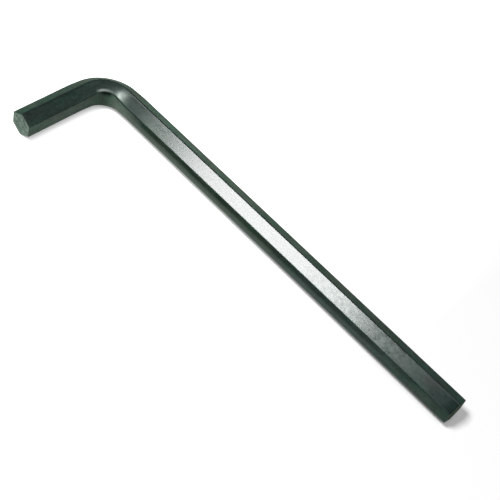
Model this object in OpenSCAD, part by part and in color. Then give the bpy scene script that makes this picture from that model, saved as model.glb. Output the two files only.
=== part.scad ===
// Hex key: one length of hexagonal bar with a right-angle bend near one end.
// It lies on the two lowest corner lines of its arms, as it comes to rest on a bench.
// +X runs along the long arm, the short arm points along -Y, and +Z is up.
// The origin is at the middle of the key's outer box, on the surface that it lies on.

/* [Bar] */
// Width of the bar across two opposite flats, which is the size of screw that it drives
across_flats = 8; // [3:0.5:14]
// Radius rolled on the six long corners of the bar
corner_radius = 0.5; // [0.1:0.05:0.7]

/* [Arms] */
// Length of the long arm, from the outer flat of the short arm to its end
long_arm = 158; // [60:1:300]
// Length of the short arm, from the outer flat of the long arm to its end
short_arm = 39; // [34:1:60]

/* [Bend] */
// Radius of the bend, measured at the centre line of the bar
bend_radius = 9.2; // [8.5:0.1:15]
// Length of each arm, next to the bend, that the bending also deformed
run_out = 5.4; // [2:0.1:8]
// Share by which the squeezed inner flat grows in height, at the middle of the bend
inner_swell = 0.43; // [0:0.01:0.45]
// Share by which the stretched outer flat loses height, at the middle of the bend
outer_shrink = 0.15; // [0:0.01:0.3]
// Depth by which the stretched outer flat sinks, at the middle of the bend
outer_sink = 0.42; // [0:0.02:1]

/* [Ends] */
// Length of the bevel that takes the burr off the corners of each cropped end
end_break = 0.35; // [0.1:0.05:0.8]

/* [Hidden] */

// Segments of the full circle that bevels the ends
$fn = 96;
// Facets of each rolled corner, the same on the arms and the bend so that they join cleanly
roll_segments = 4;
// Parts of each flat in the bend, so that the flats can bulge and sink
flat_parts = 2;
// Steps of the bend from the short arm to the long one
bend_steps = 36;

// The hexagon has two upright flats, and a corner at the top and at the bottom
flat_distance = across_flats / 2;
corner_distance = flat_distance / cos(30);
first_corner = 30;
corner_step = 60;
last_corner = 330;
// A rolled corner turns by this much to each side of its middle
half_turn = corner_step / 2;
// Centres of the rolled corners lie on the diagonals, one radius inside both flats
roll_centre = corner_distance - corner_radius / cos(30);
// The rolled corners bring the height of the lying bar below the sharp hexagon's
bar_height = 2 * (roll_centre + corner_radius);

// The rolled corners on the top and at the bottom reach this far to each side of their middle
ridge_width = corner_radius * sin(half_turn);

// Centre lines of the arms run from their crossing point at the corner of the key
long_reach = long_arm - flat_distance;
short_reach = short_arm - flat_distance;
// Half the length of the bent centre line
half_arc = bend_radius * PI / 4;
// Length of the centre line from the middle of the bend to where the bar has its true section
deformed_reach = half_arc + run_out;
// Distance from the corner of the key to where the true section starts, on either arm
straight_start = bend_radius + run_out;

// Point of the section on a rolled corner, turned away from the corner's middle
function rolled_point(corner, turn) =
    roll_centre * [cos(corner), sin(corner)]
    + corner_radius * [cos(corner + turn), sin(corner + turn)];

// Point of the section on the flat that follows a corner, at a share of the flat's length
function flat_point(corner, share) =
    (1 - share) * rolled_point(corner, half_turn)
    + share * rolled_point(corner + corner_step, -half_turn);

// The section as a ring of points, each [offset to the outer side, height], with flats in parts
function section_ring(parts) = [
    for (corner = [first_corner : corner_step : last_corner])
        each concat(
            [for (i = [0 : roll_segments])
                rolled_point(corner, half_turn * (2 * i / roll_segments - 1))],
            [for (i = [1 : 1 : parts - 1]) flat_point(corner, i / parts)]
        )
];

// How strongly the bar is deformed at a station: fully at the middle, not at all at the ends
function strength(along) = pow(1 - pow(along / deformed_reach, 2), 2);

// Share of the way from a ridge to the outer flat (up to 1) or to the inner flat (down to -1)
function side_of(point) =
    sign(point[0]) * max(0, abs(point[0]) - ridge_width) / (flat_distance - ridge_width);

// A point of the section after bending: the inner side swells, the outer side shrinks and sinks
function upset_point(point, strength) =
    let (side = side_of(point))
    let (growth = side < 0 ? -inner_swell * side : -outer_shrink * side)
    let (sink = side > 0 ? outer_sink * side * side : 0)
    [point[0] - strength * sink, point[1] * (1 + strength * growth)];

// A point of the section carried to a station on the bent centre line
function bent_point(along, point) =
    along >= half_arc
        ? [bend_radius + along - half_arc, point[0], point[1]]
        : along <= -half_arc
            ? [-point[0], along + half_arc - bend_radius, point[1]]
            : let (turn = (half_arc - along) / bend_radius * 180 / PI)
              let (arm = bend_radius + point[0])
              [bend_radius - arm * sin(turn), arm * cos(turn) - bend_radius, point[1]];

// Cross-section of the straight bar: flats between six rolled corners
module bar_section() {
    polygon(section_ring(1));
}

// Envelope that bevels the corners at the far end of an arm and leaves its flats alone
module end_envelope(length) {
    clear_radius = corner_distance + end_break;
    face_radius = bar_height / 2 - end_break;
    rotate_extrude()
        polygon([
            [0, 0],
            [clear_radius, 0],
            [clear_radius, length - (clear_radius - face_radius)],
            [face_radius, length],
            [0, length]
        ]);
}

// Straight stretch of the bar out to the end of an arm, standing along +Z
module straight_stretch(length) {
    intersection() {
        linear_extrude(length)
            bar_section();
        end_envelope(length);
    }
}

// The bend and the deformed stretch to each side of it, from station to station
module bend() {
    section = section_ring(flat_parts);
    ring = len(section);
    places = [
        for (station = [0 : bend_steps])
            let (along = deformed_reach * (2 * station / bend_steps - 1))
            for (point = section)
                bent_point(along, upset_point(point, strength(along)))
    ];
    sides = [
        for (station = [0 : bend_steps - 1], i = [0 : ring - 1])
            let (here = station * ring, ahead = here + ring, next = (i + 1) % ring)
            each [
                [here + i, ahead + next, here + next],
                [here + i, ahead + i, ahead + next]
            ]
    ];
    near_end = [for (i = [0 : ring - 1]) i];
    far_end = [for (i = [ring - 1 : -1 : 0]) bend_steps * ring + i];
    polyhedron(points = places, faces = concat([near_end], sides, [far_end]));
}

module hex_key() {
    color("darkslategray")
        translate([flat_distance - long_arm / 2, short_arm / 2 - flat_distance, bar_height / 2])
            union() {
                translate([straight_start, 0, 0])
                    rotate([90, 0, 90])
                        straight_stretch(long_reach - straight_start);
                bend();
                translate([0, -straight_start, 0])
                    rotate([90, 0, 0])
                        straight_stretch(short_reach - straight_start);
            }
}

hex_key();
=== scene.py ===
"""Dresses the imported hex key: a bar of blackened steel, modelled with its bend and its cropped
ends, on a white studio card under a softbox and a weak fill lamp."""

from math import atan2, cos, pi, radians, sin

import bmesh
import bpy
from bpy.props import FloatProperty, FloatVectorProperty, PointerProperty
from mathutils import Matrix, Quaternion, Vector


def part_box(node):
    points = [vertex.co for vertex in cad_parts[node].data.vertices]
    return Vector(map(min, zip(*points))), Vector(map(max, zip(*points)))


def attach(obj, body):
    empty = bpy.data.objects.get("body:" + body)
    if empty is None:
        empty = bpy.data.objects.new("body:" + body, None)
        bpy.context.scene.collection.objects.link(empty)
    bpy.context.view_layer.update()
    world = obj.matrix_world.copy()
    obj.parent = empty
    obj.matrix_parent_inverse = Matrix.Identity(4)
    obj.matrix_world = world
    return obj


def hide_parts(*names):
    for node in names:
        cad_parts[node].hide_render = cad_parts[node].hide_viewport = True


bl_info = {
    "name": "Hex Key",
    "version": (1, 0, 0),
    "blender": (4, 5, 0),
    "location": "View3D > Sidebar > Hex Key",
    "description": "Adds a blackened hex key and its small studio",
    "category": "Add Mesh",
}

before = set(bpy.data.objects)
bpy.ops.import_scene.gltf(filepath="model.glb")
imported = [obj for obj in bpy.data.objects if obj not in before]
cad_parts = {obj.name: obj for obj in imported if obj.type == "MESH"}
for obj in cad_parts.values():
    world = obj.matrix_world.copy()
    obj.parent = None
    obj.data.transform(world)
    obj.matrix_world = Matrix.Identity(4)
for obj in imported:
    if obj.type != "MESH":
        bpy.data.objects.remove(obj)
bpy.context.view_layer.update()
KEY_LOW, KEY_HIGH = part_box("hex_key")
MM = 0.001


def linear(hex_colour):
    """An sRGB hex colour as linear red, green and blue."""
    parts = [int(hex_colour[i : i + 2], 16) / 255 for i in (0, 2, 4)]
    return tuple(c / 12.92 if c <= 0.04045 else ((c + 0.055) / 1.055) ** 2.4 for c in parts)


# Sizes and colours


class HexKeySizes(bpy.types.PropertyGroup):
    """Sizes of the bar, its bend and its ends"""

    across_flats: FloatProperty(
        name="Across flats",
        description="Width of the bar across two opposite flats",
        default=8 * MM,
        min=1 * MM,
        unit="LENGTH",
    )
    corner_radius: FloatProperty(
        name="Corner radius",
        description="Radius rolled on the six long corners",
        default=0.5 * MM,
        min=0.05 * MM,
        unit="LENGTH",
    )
    long_arm: FloatProperty(
        name="Long arm",
        description="From the outer flat of the short arm to the end of the long arm",
        default=KEY_HIGH.x - KEY_LOW.x,
        min=20 * MM,
        unit="LENGTH",
    )
    short_arm: FloatProperty(
        name="Short arm",
        description="From the outer flat of the long arm to the end of the short arm",
        default=KEY_HIGH.y - KEY_LOW.y,
        min=10 * MM,
        unit="LENGTH",
    )
    bend_radius: FloatProperty(
        name="Bend radius",
        description="Radius of the bend at the centre line of the bar",
        default=9.2 * MM,
        min=4 * MM,
        unit="LENGTH",
    )
    run_out: FloatProperty(
        name="Run-out",
        description="Length of each arm, next to the bend, that the bending also deformed",
        default=5.4 * MM,
        min=0.1 * MM,
        unit="LENGTH",
    )
    inner_swell: FloatProperty(
        name="Inner swell",
        description="Share by which the squeezed inner flat grows in height in the bend",
        default=0.43,
        min=0,
        max=1,
        subtype="FACTOR",
    )
    outer_shrink: FloatProperty(
        name="Outer shrink",
        description="Share by which the stretched outer flat loses height in the bend",
        default=0.15,
        min=0,
        max=1,
        subtype="FACTOR",
    )
    outer_sink: FloatProperty(
        name="Outer sink",
        description="Depth by which the stretched outer flat sinks in the bend",
        default=0.42 * MM,
        min=0,
        unit="LENGTH",
    )
    end_break: FloatProperty(
        name="End break",
        description="Width of the small round worn on the edges of both cropped ends",
        default=0.22 * MM,
        min=0.02 * MM,
        unit="LENGTH",
    )


class HexKeyFinish(bpy.types.PropertyGroup):
    """Colours of the steel"""

    oxide: FloatVectorProperty(
        name="Oxide",
        description="Colour of the black oxide on the flats",
        default=linear("2B3736"),
        subtype="COLOR",
        min=0,
        max=1,
    )
    dry_oxide: FloatVectorProperty(
        name="Dry oxide",
        description="Colour of the oxide where the oil has drained off",
        default=linear("58715E"),
        subtype="COLOR",
        min=0,
        max=1,
    )
    # Colour of a painted highlight: the pale line in the bend, which stands in for a glint of
    # light.
    painted_highlight: FloatVectorProperty(
        name="Rubbed steel",
        description="Colour of the steel where the bending tool rubbed most of the oxide off",
        default=linear("A8B2AE"),
        subtype="COLOR",
        min=0,
        max=1,
    )
    cropped: FloatVectorProperty(
        name="Cropped end",
        description="Colour of the rough steel on the two cropped ends",
        default=linear("7A8C80"),
        subtype="COLOR",
        min=0,
        max=1,
    )


class HexKeyStudio(bpy.types.PropertyGroup):
    """Camera, lamps, floor and room"""

    camera_place: FloatVectorProperty(
        name="Camera place",
        description="Where the camera stands",
        default=(111.9 * MM, -181.5 * MM, 268.3 * MM),
        subtype="TRANSLATION",
        unit="LENGTH",
    )
    camera_aim: FloatVectorProperty(
        name="Camera aim",
        description="Point of the floor in the middle of the picture",
        default=(0.8 * MM, 9.8 * MM, 0),
        subtype="TRANSLATION",
        unit="LENGTH",
    )
    camera_roll: FloatProperty(
        name="Camera roll",
        description="Turn of the camera about its line of sight",
        default=radians(19.74),
        unit="ROTATION",
    )
    lens: FloatProperty(
        name="Lens",
        description="Focal length for a picture 36 mm wide",
        default=81.57,
        unit="CAMERA",
    )
    softbox_place: FloatVectorProperty(
        name="Softbox place",
        description="Where the softbox hangs, facing straight down",
        default=(-438 * MM, -497 * MM, 1200 * MM),
        subtype="TRANSLATION",
        unit="LENGTH",
    )
    softbox_width: FloatProperty(
        name="Softbox width",
        description="Size of the softbox along X",
        default=390 * MM,
        unit="LENGTH",
    )
    softbox_depth: FloatProperty(
        name="Softbox depth",
        description="Size of the softbox along Y",
        default=400 * MM,
        unit="LENGTH",
    )
    softbox_power: FloatProperty(
        name="Softbox power",
        description="Power of the softbox",
        default=17.5,
        unit="POWER",
    )
    fill_place: FloatVectorProperty(
        name="Fill place",
        description="Where the weak fill lamp hangs",
        default=(550 * MM, -330 * MM, 900 * MM),
        subtype="TRANSLATION",
        unit="LENGTH",
    )
    fill_aim: FloatVectorProperty(
        name="Fill aim",
        description="Point that the fill lamp faces",
        default=(50 * MM, 0, 0),
        subtype="TRANSLATION",
        unit="LENGTH",
    )
    fill_width: FloatProperty(
        name="Fill width",
        description="Size of the square fill lamp",
        default=400 * MM,
        unit="LENGTH",
    )
    fill_power: FloatProperty(
        name="Fill power",
        description="Power of the fill lamp",
        default=1.2,
        unit="POWER",
    )
    floor_width: FloatProperty(
        name="Floor width",
        description="Width of the square floor",
        default=6000 * MM,
        unit="LENGTH",
    )
    card: FloatVectorProperty(
        name="Card",
        description="Colour of the white card that the key lies on",
        default=linear("F4F4F4"),
        subtype="COLOR",
        min=0,
        max=1,
    )
    room: FloatVectorProperty(
        name="Room",
        description="Colour of the dark room round the floor",
        default=(0.03, 0.03, 0.03),
        subtype="COLOR",
        min=0,
        max=1,
    )


# Shape of the bar


def bar_height(sizes):
    """Height of the lying bar over two opposite rolled corners."""
    roll_centre = (sizes.across_flats / 2 - sizes.corner_radius) / cos(radians(30))
    return 2 * (roll_centre + sizes.corner_radius)


def key_corner(sizes):
    """Crossing point of the two centre lines, in the frame of the part."""
    half = sizes.across_flats / 2
    return Vector((KEY_LOW.x + half, KEY_HIGH.y - half, bar_height(sizes) / 2))


def place_on_bar(point, sizes):
    """Distance along the centre line from the middle of the bend, offset to the outer side,
    and the direction of that side, for a point measured from the key's corner."""
    radius = sizes.bend_radius
    half_arc = radius * pi / 4
    if point.x > radius:
        return half_arc + point.x - radius, point.y, Vector((0, 1, 0))
    if point.y < -radius:
        return -half_arc + point.y + radius, -point.x, Vector((-1, 0, 0))
    spoke = Vector((point.x - radius, point.y + radius, 0))
    turn = atan2(-spoke.x, spoke.y)
    return half_arc - radius * turn, spoke.length - radius, spoke.normalized()


def draw_section(bm, sizes):
    """A ring of edges: the hexagon with rolled corners, where the short arm ends."""
    flat_cuts = 10
    roll_segments = 6
    shortest_flat = sizes.across_flats / 4
    end = sizes.across_flats / 2 - sizes.short_arm + sizes.end_break
    start = Matrix.Translation((0, end, 0))
    upright = Matrix.Rotation(radians(90), 4, "X")
    bmesh.ops.create_circle(
        bm,
        cap_ends=False,
        segments=6,
        radius=sizes.across_flats / 2 / cos(radians(30)),
        matrix=start @ upright,
    )
    bmesh.ops.bevel(
        bm,
        geom=bm.verts[:],
        affect="VERTICES",
        offset=sizes.corner_radius * sin(radians(30)) / cos(radians(30)),
        offset_type="OFFSET",
        segments=roll_segments,
        profile=0.5,
        material=-1,
    )
    flats = [e for e in bm.edges if e.calc_length() > shortest_flat]
    bmesh.ops.subdivide_edges(bm, edges=flats, cuts=flat_cuts)


def sweep(bm, edges, steps, centre=(0, 0, 0), angle=0.0, travel=(0, 0, 0)):
    """Carries the open ring of edges on, straight or round, and returns it where it stops."""
    swept = bmesh.ops.spin(
        bm,
        geom=edges,
        cent=centre,
        axis=(0, 0, 1),
        dvec=Vector(travel) / steps,
        angle=angle,
        steps=steps,
        use_merge=False,
        use_duplicate=False,
    )
    return [g for g in swept["geom_last"] if isinstance(g, bmesh.types.BMEdge)]


def upset_bend(bm, sizes):
    """Moves the steel as bending did: the squeezed inner side grows in height, the stretched
    outer side loses height and sinks, and the ridges between them keep their place."""
    half = sizes.across_flats / 2
    ridge = sizes.corner_radius * sin(radians(30))
    reach = sizes.bend_radius * pi / 4 + sizes.run_out
    for vert in bm.verts:
        along, out, outward = place_on_bar(vert.co, sizes)
        if abs(along) >= reach:
            continue
        strength = (1 - (along / reach) ** 2) ** 2
        side = max(0, abs(out) - ridge) / (half - ridge)
        if out < 0:
            vert.co.z *= 1 + sizes.inner_swell * strength * side
        else:
            vert.co.z *= 1 - sizes.outer_shrink * strength * side
            vert.co -= outward * (sizes.outer_sink * strength * side * side)


def crop_end(bm, ring, centre, outward, sizes):
    """Carries the ring at an arm's end round its worn edge and over the cropped face, which is
    dished a little, and closes it in the middle."""
    dish = 0.06 * MM
    half = sizes.across_flats / 2
    worn = sizes.end_break
    worn_turns = (pi / 8, pi / 4, 3 * pi / 8, pi / 2)
    face_shares = (0.12, 0.3, 0.5, 0.7, 0.9)
    stops = [(worn * (1 - cos(turn)), worn * sin(turn)) for turn in worn_turns]
    stops += [(half * share, worn - dish * share) for share in face_shares]
    inward_before = out_before = 0.0
    for inward, out in stops:
        made = bmesh.ops.extrude_edge_only(bm, edges=ring)["geom"]
        verts = [part for part in made if isinstance(part, bmesh.types.BMVert)]
        ring = [part for part in made if isinstance(part, bmesh.types.BMEdge) and part.is_boundary]
        share = (half - inward) / (half - inward_before)
        around_centre = Matrix.Translation(-centre)
        bmesh.ops.scale(bm, verts=verts, vec=(share, share, share), space=around_centre)
        travel = outward * (out - out_before)
        bmesh.ops.translate(bm, verts=verts, vec=travel)
        centre = centre + travel
        if inward > worn:
            for face in {face for vert in verts for face in vert.link_faces}:
                face.material_index = 1
        inward_before, out_before = inward, out
    for face in bmesh.ops.holes_fill(bm, edges=ring, sides=0)["faces"]:
        face.material_index = 1


def crop_both_ends(bm, sizes):
    """Finishes the two open ends of the bar."""
    half = sizes.across_flats / 2
    short_end = Vector((0, half - sizes.short_arm + sizes.end_break, 0))
    long_end = Vector((sizes.long_arm - half - sizes.end_break, 0, 0))
    for centre, outward in ((short_end, Vector((0, -1, 0))), (long_end, Vector((1, 0, 0)))):
        ring = [
            edge
            for edge in bm.edges
            if edge.is_boundary and (edge.verts[0].co - centre).length < sizes.across_flats
        ]
        crop_end(bm, ring, centre, outward, sizes)


def keep_bar_places(bm, sizes):
    """Stores each vertex's place on the unbent bar, for the finishes."""
    layer = bm.verts.layers.float_vector.new("bar_place")
    for vert in bm.verts:
        along, out, _ = place_on_bar(vert.co, sizes)
        vert[layer] = (along, out, vert.co.z)


def make_bar(sizes):
    """The whole key: the section is drawn once, then carried along both arms and the bend."""
    run_out = sizes.run_out
    run_out_steps, bend_steps = 12, 48
    short_arm_steps, long_arm_steps = 12, 60
    doubled_within = 0.001 * MM
    used = sizes.across_flats / 2 + sizes.bend_radius + run_out + sizes.end_break
    short_stretch = sizes.short_arm - used
    long_stretch = sizes.long_arm - used
    bend_centre = (sizes.bend_radius, -sizes.bend_radius, 0)
    bm = bmesh.new()
    draw_section(bm, sizes)
    ring = sweep(bm, bm.edges[:], steps=short_arm_steps, travel=(0, short_stretch, 0))
    ring = sweep(bm, ring, steps=run_out_steps, travel=(0, run_out, 0))
    ring = sweep(bm, ring, steps=bend_steps, centre=bend_centre, angle=-pi / 2)
    ring = sweep(bm, ring, steps=run_out_steps, travel=(run_out, 0, 0))
    sweep(bm, ring, steps=long_arm_steps, travel=(long_stretch, 0, 0))
    bmesh.ops.remove_doubles(bm, verts=bm.verts[:], dist=doubled_within)
    crop_both_ends(bm, sizes)
    keep_bar_places(bm, sizes)
    upset_bend(bm, sizes)
    bmesh.ops.recalc_face_normals(bm, faces=bm.faces[:])
    bmesh.ops.translate(bm, verts=bm.verts[:], vec=key_corner(sizes))
    mesh = bpy.data.meshes.new("bent_bar")
    bm.to_mesh(mesh)
    bm.free()
    mesh.shade_smooth()
    return mesh


# Finishes

# What a colour is multiplied by, as red, green, blue and alpha
GREEN_CAST = (0.92, 1, 0.78, 1)
# Darkening of the inner upper flats over the last few millimetres of the long end
END_DARKENING = (0.05, 0.15, 0.1, 1)
# Painted shade at the top of the inner side of the bend
CREASE_SHADE = (0.12, 0.18, 0.15, 1)
# Darkening of the long cropped end
LONG_END_DARKENING = (0.25, 0.32, 0.22, 1)

# Tints of the gloss
NEUTRAL_GLOSS = (1, 1, 1, 1)
GREEN_GLOSS = (0.66, 1, 0.78, 1)


def opaque(colour):
    """Red, green and blue with a full alpha."""
    return (*colour, 1)


def new_material(name):
    """An empty node material with its node tree."""
    material = bpy.data.materials.new(name)
    material.use_nodes = True
    material.node_tree.nodes.clear()
    return material, material.node_tree


def add_node(tree, kind, settings=None, links=None):
    """A node with its settings, and its inputs set to values or linked to other nodes' sockets."""
    node = tree.nodes.new(kind)
    for name, value in (settings or {}).items():
        setattr(node, name, value)
    for name, value in (links or {}).items():
        if isinstance(value, bpy.types.NodeSocket):
            tree.links.new(value, node.inputs[name])
        else:
            node.inputs[name].default_value = value
    return node


def combine(tree, operation, *values):
    """One number worked out from two or more, in turn."""
    result = values[0]
    for value in values[1:]:
        sockets = {0: result, 1: value}
        node = add_node(tree, "ShaderNodeMath", {"operation": operation}, sockets)
        result = node.outputs["Value"]
    return result


def profile(tree, value, *stops):
    """A broken line through two or more stops, each a value and the number reached there. It
    stays level before the first stop and after the last one."""
    rises = []
    for (start, before), (stop, after) in zip(stops, stops[1:]):
        if before != after:
            links = {"Value": value, "From Min": start, "From Max": stop, "To Max": after - before}
            rise = add_node(tree, "ShaderNodeMapRange", links=links)
            rises.append(rise.outputs["Result"])
    return combine(tree, "ADD", stops[0][1], *rises)


def lay_colours(tree, colour, layers):
    """A colour with others laid over it in turn, each mixed in or multiplied by its share."""
    # The colour sockets share their names with others, so they are found by their numbers
    under, over, mixed = 6, 7, 2
    for blend, share, laid in layers:
        settings = {"data_type": "RGBA", "blend_type": blend}
        sockets = {"Factor": share, under: colour, over: laid}
        colour = add_node(tree, "ShaderNodeMix", settings, sockets).outputs[mixed]
    return colour


def bar_coordinates(tree, stretch=1):
    """The place on the unbent bar in millimetres, with its length divided by the stretch, so
    that a pattern comes out drawn along the bar."""
    place = add_node(tree, "ShaderNodeAttribute", {"attribute_name": "bar_place"})
    per_mm = 1 / MM
    mapping = add_node(
        tree,
        "ShaderNodeMapping",
        links={"Vector": place.outputs["Vector"], "Scale": (per_mm / stretch, per_mm, per_mm)},
    )
    return mapping.outputs["Vector"]


def grain_of(tree, size, stretch=1, detail=3.0, roughness=0.5):
    """Random patches on the bar that measure about size millimetres, and are longer along it
    by the stretch."""
    links = {
        "Vector": bar_coordinates(tree, stretch),
        "Scale": 1 / size,
        "Detail": detail,
        "Roughness": roughness,
    }
    return add_node(tree, "ShaderNodeTexNoise", links=links).outputs["Fac"]


def spread_of(tree, grain, low, high):
    """Turns a grain's value, which mostly lies from 0.3 to 0.7, into one from low to high."""
    return profile(tree, grain, (0.3, low), (0.7, high))


def bar_masks(tree):
    """Where a point is on the unbent bar, in millimetres: along it from the middle of the bend,
    out from its centre line, and up. With them, masks from 0 to 1 of the side flats, the outer
    and the inner upper flats, and the ridges between the flats."""
    upper_flats_end, side_flats_start = 3.6, 3.95
    place = add_node(tree, "ShaderNodeSeparateXYZ", links={"Vector": bar_coordinates(tree)})
    along, out, up = place.outputs["X"], place.outputs["Y"], place.outputs["Z"]
    outer_side = profile(tree, out, (upper_flats_end, 0), (side_flats_start, 1))
    inner_side = profile(tree, out, (-side_flats_start, 1), (-upper_flats_end, 0))
    side = combine(tree, "MAXIMUM", outer_side, inner_side)
    outer = profile(tree, out, (0, 0), (0.15, 1), (upper_flats_end, 1), (side_flats_start, 0))
    inner = profile(tree, out, (-side_flats_start, 0), (-upper_flats_end, 1), (-0.6, 1), (-0.2, 0))
    top_ridge = profile(tree, out, (-0.45, 0), (-0.2, 1), (0.2, 1), (0.45, 0))
    side_ridges = combine(tree, "MULTIPLY", side, profile(tree, up, (1.7, 0), (2.1, 1)))
    return {
        "along": along,
        "out": out,
        "up": up,
        "side": side,
        "outer": outer,
        "inner": combine(tree, "MULTIPLY", inner, profile(tree, up, (1, 0), (1.5, 1))),
        "ridges": combine(tree, "MAXIMUM", top_ridge, side_ridges),
        "side_ridges": side_ridges,
    }


def side_dryness(tree, masks):
    """On the side flats the oil has drained from the upper part, and from more of the height
    towards the long end. The short arm is dry, and the first stretch of the long one oily."""
    along = masks["along"]
    upper_part = profile(tree, masks["up"], (-1.9, 0), (0.8, 1))
    long_end = profile(tree, along, (70, 0), (140, 0.9))
    past_bend = profile(tree, along, (4, 0), (20, 1))
    short_arm = profile(tree, along, (0, 0.85), (8, 0))
    drained = combine(tree, "MAXIMUM", upper_part, long_end)
    long_arm = combine(tree, "MULTIPLY", drained, past_bend)
    both_arms = combine(tree, "MAXIMUM", long_arm, short_arm)
    return combine(tree, "MULTIPLY", masks["side"], both_arms)


def outer_dryness(tree, masks):
    """The outer upper flats are dry, with a trace of oil between the bend and the long end."""
    share = profile(tree, masks["along"], (-12, 1), (2, 0.97), (60, 0.97), (150, 1))
    return combine(tree, "MULTIPLY", masks["outer"], share)


def inner_dryness(tree, masks):
    """The inner upper flats are oily and bright, with a dry patch after the bend, dry flecks
    further on and a dry long end. The top ridge is dry at the long end only, and the ridges
    along the side flats are dry everywhere."""
    along = masks["along"]
    patches = profile(tree, along, (6, 0), (11, 0.7), (16, 0.7), (26, 0), (124, 0), (150, 1))
    spots = profile(tree, grain_of(tree, size=1.0, stretch=1.3), (0.5, 0), (0.6, 0.5))
    spotted = profile(tree, along, (114, 0), (126, 1), (142, 1), (152, 0))
    flecks = combine(tree, "MULTIPLY", spots, spotted)
    dry_places = combine(tree, "MAXIMUM", patches, flecks)
    flats = combine(tree, "MULTIPLY", masks["inner"], dry_places)
    long_end = profile(tree, along, (120, 0), (145, 1))
    ridges = combine(tree, "MULTIPLY", masks["ridges"], long_end)
    return combine(tree, "MAXIMUM", flats, ridges, masks["side_ridges"])


def paler_share(tree, masks):
    """How much of the pale dry oxide shows through the oily black, on each flat."""
    along = masks["along"]
    on_flats = {
        "outer": profile(tree, along, (-12, 0.42), (0, 0.85), (50, 0.85), (135, 0.3)),
        "side": profile(tree, along, (3, 0.62), (14, 0.09), (105, 0.09), (143, 0.28)),
        "inner": profile(tree, along, (125, 0.13), (150, 0.07)),
    }
    shares = [combine(tree, "MULTIPLY", masks[flat], on_flats[flat]) for flat in on_flats]
    off_ridges = profile(tree, masks["ridges"], (0, 1), (1, 0.3))
    return combine(tree, "MULTIPLY", combine(tree, "MAXIMUM", *shares), off_ridges)


def painted_crease_shade(tree, masks):
    """Painted shade at the top of the squeezed inner side of the bend, just under its upper edge.
    """
    middle = profile(tree, masks["along"], (-4, 0), (-1.3, 1), (2.3, 1), (4.5, 0))
    under_edge = profile(tree, masks["up"], (0.5, 0), (1.8, 1), (2.4, 1), (2.6, 0))
    inner_side = profile(tree, masks["out"], (-3.9, 1), (-3.6, 0))
    return combine(tree, "MULTIPLY", middle, under_edge, inner_side)


def painted_highlight_line(tree, masks):
    """A painted highlight: a short pale line just above the painted shade in the bend, beside the
    inner edge, which covers most of the oxide colour.
    """
    middle = profile(tree, masks["along"], (-5.5, 0), (-3.2, 0.8), (-1.5, 0.8), (5.5, 0))
    beside_edge = profile(tree, masks["out"], (-4, 0), (-3.85, 1), (-3.5, 1), (-3.05, 0))
    upper = profile(tree, masks["up"], (1, 0), (1.5, 1))
    return combine(tree, "MULTIPLY", middle, beside_edge, upper)


def mottled_shade(tree):
    """Cloudy patches and fine specks of scale, some redder and some greener, as factors."""
    clouds = spread_of(tree, grain_of(tree, size=3.0, stretch=2.5, detail=4.0), 0.78, 1.22)
    specks = spread_of(tree, grain_of(tree, size=0.9, stretch=1.3), 0.8, 1.2)
    hues = grain_of(tree, size=4.1, stretch=2)
    mottle = combine(tree, "MULTIPLY", clouds, specks)
    shades = {
        "Red": combine(tree, "MULTIPLY", mottle, spread_of(tree, hues, 1.22, 0.78)),
        "Green": mottle,
        "Blue": combine(tree, "MULTIPLY", mottle, spread_of(tree, hues, 1.08, 0.95)),
    }
    return add_node(tree, "ShaderNodeCombineColor", links=shades).outputs["Color"]


def oxide_colour(tree, finish, masks, crease_shade):
    """Greenish black, paler where it is dry and mottled with scale. It is greener on the side
    flats past the bend, darker at the long end of the inner upper flats, with a painted shade
    at the top of the inner side of the bend and a painted highlight as a pale line above it."""
    along = masks["along"]
    past_bend = profile(tree, along, (2, 0), (14, 1), (70, 1), (115, 0))
    greener = combine(tree, "MULTIPLY", masks["side"], past_bend)
    # Darker over the last few millimetres of the inner upper flats at the long end.
    long_end = profile(tree, along, (147, 0), (153, 0.6))
    darker_inner_end = combine(tree, "MULTIPLY", masks["inner"], long_end)
    layers = (
        ("MIX", paler_share(tree, masks), opaque(finish.dry_oxide)),
        ("MULTIPLY", 1.0, mottled_shade(tree)),
        ("MULTIPLY", greener, GREEN_CAST),
        ("MULTIPLY", darker_inner_end, END_DARKENING),
        # Painted shade at the top of the inner side of the bend.
        ("MULTIPLY", crease_shade, CREASE_SHADE),
        # Painted highlight: a pale line just above that painted shade.
        ("MIX", painted_highlight_line(tree, masks), opaque(finish.painted_highlight)),
    )
    return lay_colours(tree, opaque(finish.oxide), layers)


def oxide_gloss(tree, masks, dry, crease_shade):
    """Specular level: even where the oxide is oily, none where it is dry or under the painted
    shade in the bend, and higher on the long arm's side of the bend, where the bending tool
    pressed the steel smooth."""
    oily = profile(tree, dry, (0, 0.395), (1, 0))
    at_tool = profile(tree, masks["along"], (-1, 0), (4, 0.6), (6.5, 0.6), (10, 0))
    pressed = combine(tree, "MULTIPLY", masks["inner"], at_tool)
    outside_crease_shade = profile(tree, crease_shade, (0, 1), (1, 0))
    return combine(tree, "MULTIPLY", combine(tree, "ADD", oily, pressed), outside_crease_shade)


def oxide_gloss_tint(tree, masks):
    """The gloss is green on the side and outer flats, and faintly so on the inner upper flats
    next to the bend and towards the long end."""
    faint = profile(tree, masks["along"], (20, 0.3), (45, 0), (95, 0), (130, 0.25))
    inner = combine(tree, "MULTIPLY", masks["inner"], faint)
    share = combine(tree, "MAXIMUM", masks["side"], masks["outer"], inner)
    return lay_colours(tree, NEUTRAL_GLOSS, (("MIX", share, GREEN_GLOSS),))


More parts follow.
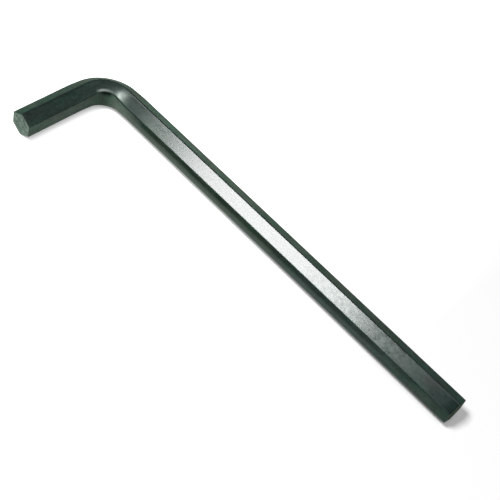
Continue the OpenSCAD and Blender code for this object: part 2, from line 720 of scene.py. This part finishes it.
def oxide_roughness(tree, masks, dry):
    """Satin gloss: patchy near the bend and towards the long end, even between them, and
    rougher where the oxide is dry and in the bend, where it crazed."""
    along = masks["along"]
    satin = profile(tree, along, (-17, 0.16), (-9, 0.28), (9, 0.28), (17, 0.16))
    films = grain_of(tree, size=1.3, stretch=1.5, detail=5.0, roughness=0.7)
    depth = profile(tree, along, (22, 0.05), (45, 0.01), (85, 0.01), (115, 0.09))
    patchy = combine(tree, "MULTIPLY", spread_of(tree, films, -1, 1), depth)
    dull = profile(tree, dry, (0, 0), (1, 0.2))
    return combine(tree, "ADD", satin, patchy, dull)


def blackened_steel(finish):
    """Drawn steel bar, heat-treated, blackened and oiled: a smooth dark oxide skin with a
    satin gloss where the oil stayed and dull greenish flats where it drained off, faint marks
    of the drawing die along its length, cloudy patches of scale, and in the bend a painted
    shade at the top of the inner side and a painted highlight as a pale line above it."""
    material, tree = new_material("blackened_steel")
    masks = bar_masks(tree)
    flats = (side_dryness(tree, masks), outer_dryness(tree, masks), inner_dryness(tree, masks))
    dry = combine(tree, "MAXIMUM", *flats)
    # Painted shade at the top of the inner side of the bend, which also takes away the gloss
    # there.
    crease_shade = painted_crease_shade(tree, masks)
    streaks = grain_of(tree, size=0.6, stretch=60, detail=2.0)
    bump = add_node(
        tree,
        "ShaderNodeBump",
        links={"Strength": 0.1, "Distance": 0.01 * MM, "Height": streaks},
    )
    shader = add_node(
        tree,
        "ShaderNodeBsdfPrincipled",
        links={
            "Base Color": oxide_colour(tree, finish, masks, crease_shade),
            "IOR": 1.45,
            "Specular IOR Level": oxide_gloss(tree, masks, dry, crease_shade),
            "Specular Tint": oxide_gloss_tint(tree, masks),
            "Roughness": oxide_roughness(tree, masks, dry),
            "Normal": bump.outputs["Normal"],
        },
    )
    add_node(tree, "ShaderNodeOutputMaterial", links={"Surface": shader.outputs["BSDF"]})
    return material


def cropped_steel(finish):
    """Steel sheared to length and blackened with the rest: torn, rough and paler, because its
    many small faces scatter the light. The long end is darker than the short one."""
    material, tree = new_material("cropped_steel")
    patches = grain_of(tree, size=0.9, detail=4.0)
    shades = {
        "Red": spread_of(tree, patches, 0.3, 1.45),
        "Green": spread_of(tree, patches, 0.4, 1.4),
        "Blue": spread_of(tree, patches, 0.38, 1.4),
    }
    torn = add_node(tree, "ShaderNodeCombineColor", links=shades).outputs["Color"]
    place = add_node(tree, "ShaderNodeSeparateXYZ", links={"Vector": bar_coordinates(tree)})
    long_end = profile(tree, place.outputs["X"], (0, 0), (100, 1))
    layers = (("MULTIPLY", 1.0, torn), ("MULTIPLY", long_end, LONG_END_DARKENING))
    bump = add_node(
        tree,
        "ShaderNodeBump",
        links={
            "Strength": 0.5,
            "Distance": 0.08 * MM,
            "Height": grain_of(tree, size=0.4, roughness=0.6),
        },
    )
    shader = add_node(
        tree,
        "ShaderNodeBsdfPrincipled",
        links={
            "Base Color": lay_colours(tree, opaque(finish.cropped), layers),
            "IOR": 1.5,
            "Specular IOR Level": 0.1,
            "Roughness": 0.8,
            "Normal": bump.outputs["Normal"],
        },
    )
    add_node(tree, "ShaderNodeOutputMaterial", links={"Surface": shader.outputs["BSDF"]})
    return material


def card_glow_with_painted_light_and_shadow(tree):
    """Strength of the card's own glow, which only the camera and reflections see: full far away,
    weaker beside the long end, a painted pool of light beside the short arm that washes out the
    key's shadow there, and a painted contact shadow close under the key."""
    path = add_node(tree, "ShaderNodeLightPath").outputs
    rays = (path["Is Camera Ray"], path["Is Glossy Ray"], path["Is Transmission Ray"])
    seen = combine(tree, "MAXIMUM", *rays)
    place = add_node(tree, "ShaderNodeTexCoord").outputs["Object"]
    across = add_node(tree, "ShaderNodeSeparateXYZ", links={"Vector": place}).outputs["X"]
    length = {"operation": "LENGTH"}
    distance = add_node(tree, "ShaderNodeVectorMath", length, {0: place}).outputs["Value"]
    # Painted light: a brighter glow beside the short arm, where it washes out the key's shadow.
    near = profile(tree, across, (-50 * MM, 0.95), (55 * MM, 0.3))
    far = profile(tree, distance, (200 * MM, 0), (700 * MM, 1))
    # Painted contact shadow: the glow dims where the key hangs close over the card.
    open_above = add_node(
        tree, "ShaderNodeAmbientOcclusion", {"samples": 8}, {"Distance": 3 * MM}
    )
    painted_contact_shade = profile(tree, open_above.outputs["AO"], (0.3, 0.4), (0.75, 1))
    return combine(tree, "MULTIPLY", seen, combine(tree, "MAXIMUM", near, far), painted_contact_shade)


def studio_floor(studio):
    """Matt white card with no gloss of its own. It shows almost white through the lamps and its
    own glow, which carries a painted pool of light and a painted contact shadow.
    """
    material, tree = new_material("white_card")
    card = add_node(tree, "ShaderNodeBsdfDiffuse", links={"Color": opaque(studio.card)})
    glow = add_node(
        tree,
        "ShaderNodeEmission",
        links={"Color": (1, 1, 1, 1), "Strength": card_glow_with_painted_light_and_shadow(tree)},
    )
    both = add_node(
        tree,
        "ShaderNodeAddShader",
        links={0: card.outputs["BSDF"], 1: glow.outputs["Emission"]},
    )
    add_node(tree, "ShaderNodeOutputMaterial", links={"Surface": both.outputs["Shader"]})
    return material


# Studio


def add_camera(studio):
    """Camera at the photograph's viewing angle."""
    data = bpy.data.cameras.new("camera")
    data.lens = studio.lens
    data.sensor_width = 36
    data.clip_start = 1 * MM
    data.clip_end = 20
    camera = bpy.data.objects.new("camera", data)
    bpy.context.scene.collection.objects.link(camera)
    place = Vector(studio.camera_place)
    sight = Vector(studio.camera_aim) - place
    level = sight.to_track_quat("-Z", "Y")
    camera.location = place
    camera.rotation_mode = "QUATERNION"
    camera.rotation_quaternion = level @ Quaternion((0, 0, 1), studio.camera_roll)
    bpy.context.scene.camera = camera


def add_soft_lamp(name, place, aim, width, depth, power):
    """A rectangular lamp that faces the point it is aimed at."""
    data = bpy.data.lights.new(name, "AREA")
    data.shape = "RECTANGLE"
    data.size = width
    data.size_y = depth
    data.energy = power
    lamp = bpy.data.objects.new(name, data)
    bpy.context.scene.collection.objects.link(lamp)
    lamp.location = place
    lamp.rotation_mode = "QUATERNION"
    lamp.rotation_quaternion = (Vector(aim) - Vector(place)).to_track_quat("-Z", "Y")


def add_floor(studio):
    """A wide flat floor under the key."""
    bm = bmesh.new()
    bmesh.ops.create_grid(bm, x_segments=1, y_segments=1, size=studio.floor_width / 2)
    mesh = bpy.data.meshes.new("floor")
    bm.to_mesh(mesh)
    bm.free()
    floor = bpy.data.objects.new("floor", mesh)
    bpy.context.scene.collection.objects.link(floor)
    mesh.materials.append(studio_floor(studio))


def light_room(studio):
    """An even dark grey room round the floor."""
    world = bpy.data.worlds.new("room")
    world.use_nodes = True
    world.node_tree.nodes.clear()
    tree = world.node_tree
    grey = add_node(
        tree, "ShaderNodeBackground", links={"Color": opaque(studio.room), "Strength": 1.0}
    )
    add_node(tree, "ShaderNodeOutputWorld", links={"Surface": grey.outputs["Background"]})
    bpy.context.scene.world = world


# Operators


class HEXKEY_OT_bar(bpy.types.Operator):
    """Add the bent bar, which is the whole key, with its finishes"""

    bl_idname = "hexkey.bar"
    bl_label = "Bent Bar"

    def execute(self, context):
        sizes = context.scene.hex_key_sizes
        finish = context.scene.hex_key_finish
        mesh = make_bar(sizes)
        mesh.materials.append(blackened_steel(finish))
        mesh.materials.append(cropped_steel(finish))
        bar = bpy.data.objects.new("bent_bar", mesh)
        context.scene.collection.objects.link(bar)
        smooth = bar.modifiers.new("flat_normals", "WEIGHTED_NORMAL")
        smooth.weight = 100
        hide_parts("hex_key")
        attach(bar, "root")
        return {"FINISHED"}


class HEXKEY_OT_studio(bpy.types.Operator):
    """Add the camera, the white floor, the dark room and the soft lamps"""

    bl_idname = "hexkey.studio"
    bl_label = "Studio"

    def execute(self, context):
        studio = context.scene.hex_key_studio
        context.scene.view_settings.view_transform = "Standard"
        add_camera(studio)
        add_floor(studio)
        light_room(studio)
        straight_below = Vector((studio.softbox_place[0], studio.softbox_place[1], 0))
        add_soft_lamp(
            "softbox",
            place=studio.softbox_place,
            aim=straight_below,
            width=studio.softbox_width,
            depth=studio.softbox_depth,
            power=studio.softbox_power,
        )
        add_soft_lamp(
            "fill",
            place=studio.fill_place,
            aim=studio.fill_aim,
            width=studio.fill_width,
            depth=studio.fill_width,
            power=studio.fill_power,
        )
        return {"FINISHED"}


class HEXKEY_PT_sidebar(bpy.types.Panel):
    """Buttons and sizes of the hex key"""

    bl_label = "Hex Key"
    bl_idname = "HEXKEY_PT_sidebar"
    bl_space_type = "VIEW_3D"
    bl_region_type = "UI"
    bl_category = "Hex Key"

    def draw(self, context):
        layout = self.layout
        for group in ("hex_key_sizes", "hex_key_finish", "hex_key_studio"):
            settings = getattr(context.scene, group)
            column = layout.column(align=True)
            for name in settings.bl_rna.properties.keys():
                if name not in {"rna_type", "name"}:
                    column.prop(settings, name)
        layout.operator("hexkey.bar")
        layout.operator("hexkey.studio")


CLASSES = (
    HexKeySizes,
    HexKeyFinish,
    HexKeyStudio,
    HEXKEY_OT_bar,
    HEXKEY_OT_studio,
    HEXKEY_PT_sidebar,
)


def register():
    for cls in CLASSES:
        bpy.utils.register_class(cls)
    bpy.types.Scene.hex_key_sizes = PointerProperty(type=HexKeySizes)
    bpy.types.Scene.hex_key_finish = PointerProperty(type=HexKeyFinish)
    bpy.types.Scene.hex_key_studio = PointerProperty(type=HexKeyStudio)


def unregister():
    del bpy.types.Scene.hex_key_studio
    del bpy.types.Scene.hex_key_finish
    del bpy.types.Scene.hex_key_sizes
    for cls in reversed(CLASSES):
        bpy.utils.unregister_class(cls)


def main():
    """Makes the key and its studio."""
    register()
    bpy.ops.hexkey.bar()
    bpy.ops.hexkey.studio()


if __name__ == "__main__":
    main()
